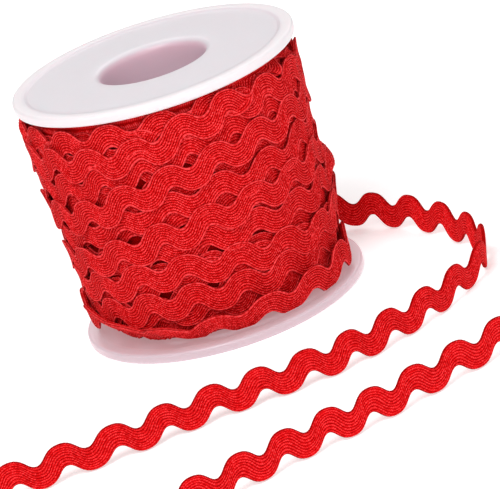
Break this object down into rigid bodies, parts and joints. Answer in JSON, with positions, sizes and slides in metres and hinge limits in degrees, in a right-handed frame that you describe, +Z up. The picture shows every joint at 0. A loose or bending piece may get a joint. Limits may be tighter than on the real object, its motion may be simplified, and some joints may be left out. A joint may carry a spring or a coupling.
{
  "type": "roll of ric rac on a plastic spool",
  "caption": "Red ric rac trim wound in wavy rows on a white plastic spool with round flanges and an open bore, with its loose end standing on edge on the table.",
  "frame": {"origin": "on the spool's axis, at the level of the rim that the spool stands on", "axes": "+Z up along the spool's axis, -Y towards the front of the roll, +X to the right seen from the front"},
  "size_m": [0.1467, 0.1662, 0.064],
  "materials": {
    "spool_plastic": "smooth moulded white plastic, slightly translucent",
    "trim_cloth": "ribbed flat braid, matt"
  },
  "bodies": {
    "root": {"spool": "spool_plastic", "winding": "trim_cloth", "tail": "trim_cloth"}
  },
  "joints": []
}
